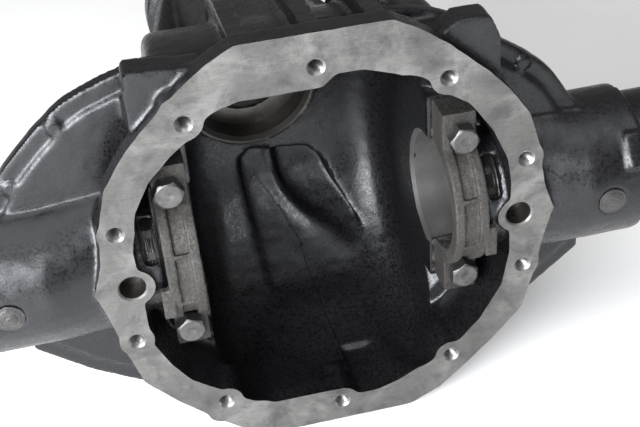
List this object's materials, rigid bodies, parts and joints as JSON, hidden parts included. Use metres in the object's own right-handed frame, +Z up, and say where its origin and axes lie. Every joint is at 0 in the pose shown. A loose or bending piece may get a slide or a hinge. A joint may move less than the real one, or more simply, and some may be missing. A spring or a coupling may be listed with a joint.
{
  "type": "drive axle centre housing",
  "caption": "Cast drive axle centre housing with pressed-in tube stubs, bolted side bearing caps, threaded bearing adjusters, fill plug and vent.",
  "frame": {"origin": "centre of the machined cover face, level with the axle axis", "axes": "+X along the axle to the right as seen through the cover opening, +Y from the opening towards the pinion nose, +Z up"},
  "size_m": [0.57, 0.2786, 0.275],
  "materials": {
    "cast_housing": "black satin paint over cast iron, machined faces bare",
    "tube_steel": "black satin paint on drawn steel tube",
    "weld_metal": "weld metal under thin paint",
    "cap_iron": "bare as-cast grey iron",
    "bolt_steel": "phosphated steel",
    "adjuster_steel": "machined steel",
    "plug_steel": "zinc plated steel",
    "gasket_rubber": "moulded rubber",
    "vent_plastic": "moulded nylon"
  },
  "bodies": {
    "housing": {"center_housing": "cast_housing", "left_axle_tube": "tube_steel", "right_axle_tube": "tube_steel", "left_tube_plug_welds": "weld_metal", "right_tube_plug_welds": "weld_metal", "left_cap_dowels": "bolt_steel", "right_cap_dowels": "bolt_steel", "fill_plug_gasket": "gasket_rubber", "vent_fitting": "plug_steel"},
    "left_cap": {"left_bearing_cap": "cap_iron"},
    "right_cap": {"right_bearing_cap": "cap_iron"},
    "left_upper_bolt": {"left_cap_bolt_upper": "bolt_steel"},
    "left_lower_bolt": {"left_cap_bolt_lower": "bolt_steel"},
    "right_upper_bolt": {"right_cap_bolt_upper": "bolt_steel"},
    "right_lower_bolt": {"right_cap_bolt_lower": "bolt_steel"},
    "left_adjuster": {"left_bearing_adjuster": "adjuster_steel"},
    "right_adjuster": {"right_bearing_adjuster": "adjuster_steel"},
    "fill_plug_body": {"fill_plug": "plug_steel"},
    "vent_cap_body": {"vent_cap": "vent_plastic"}
  },
  "joints": [
    {"name": "left_cap_slide", "type": "slide", "parent": "housing", "child": "left_cap", "axis": [0, -1, 0], "range_m": [0, 0.07]},
    {"name": "left_upper_bolt_turn", "type": "hinge", "parent": "left_cap", "child": "left_upper_bolt", "pos_m": [-0.086, 0.02, 0.049], "axis": [0, -1, 0], "continuous": true},
    {"name": "left_lower_bolt_turn", "type": "hinge", "parent": "left_cap", "child": "left_lower_bolt", "pos_m": [-0.086, 0.02, -0.049], "axis": [0, -1, 0], "continuous": true},
    {"name": "left_adjuster_turn", "type": "hinge", "parent": "housing", "child": "left_adjuster", "pos_m": [-0.10175, 0.04, 0], "axis": [-1, 0, 0], "range_deg": [-540, 540]},
    {"name": "right_cap_slide", "type": "slide", "parent": "housing", "child": "right_cap", "axis": [0, -1, 0], "range_m": [0, 0.07]},
    {"name": "right_upper_bolt_turn", "type": "hinge", "parent": "right_cap", "child": "right_upper_bolt", "pos_m": [0.086, 0.02, 0.049], "axis": [0, -1, 0], "continuous": true},
    {"name": "right_lower_bolt_turn", "type": "hinge", "parent": "right_cap", "child": "right_lower_bolt", "pos_m": [0.086, 0.02, -0.049], "axis": [0, -1, 0], "continuous": true},
    {"name": "right_adjuster_turn", "type": "hinge", "parent": "housing", "child": "right_adjuster", "pos_m": [0.10175, 0.04, 0], "axis": [1, 0, 0], "range_deg": [-540, 540]},
    {"name": "fill_plug_turn", "type": "hinge", "parent": "housing", "child": "fill_plug_body", "pos_m": [0.057, 0.166, 0.046], "axis": [0, 1, 0], "continuous": true},
    {"name": "vent_cap_lift", "type": "slide", "parent": "housing", "child": "vent_cap_body", "axis": [0, 0, 1], "range_m": [0, 0.0015]}
  ]
}
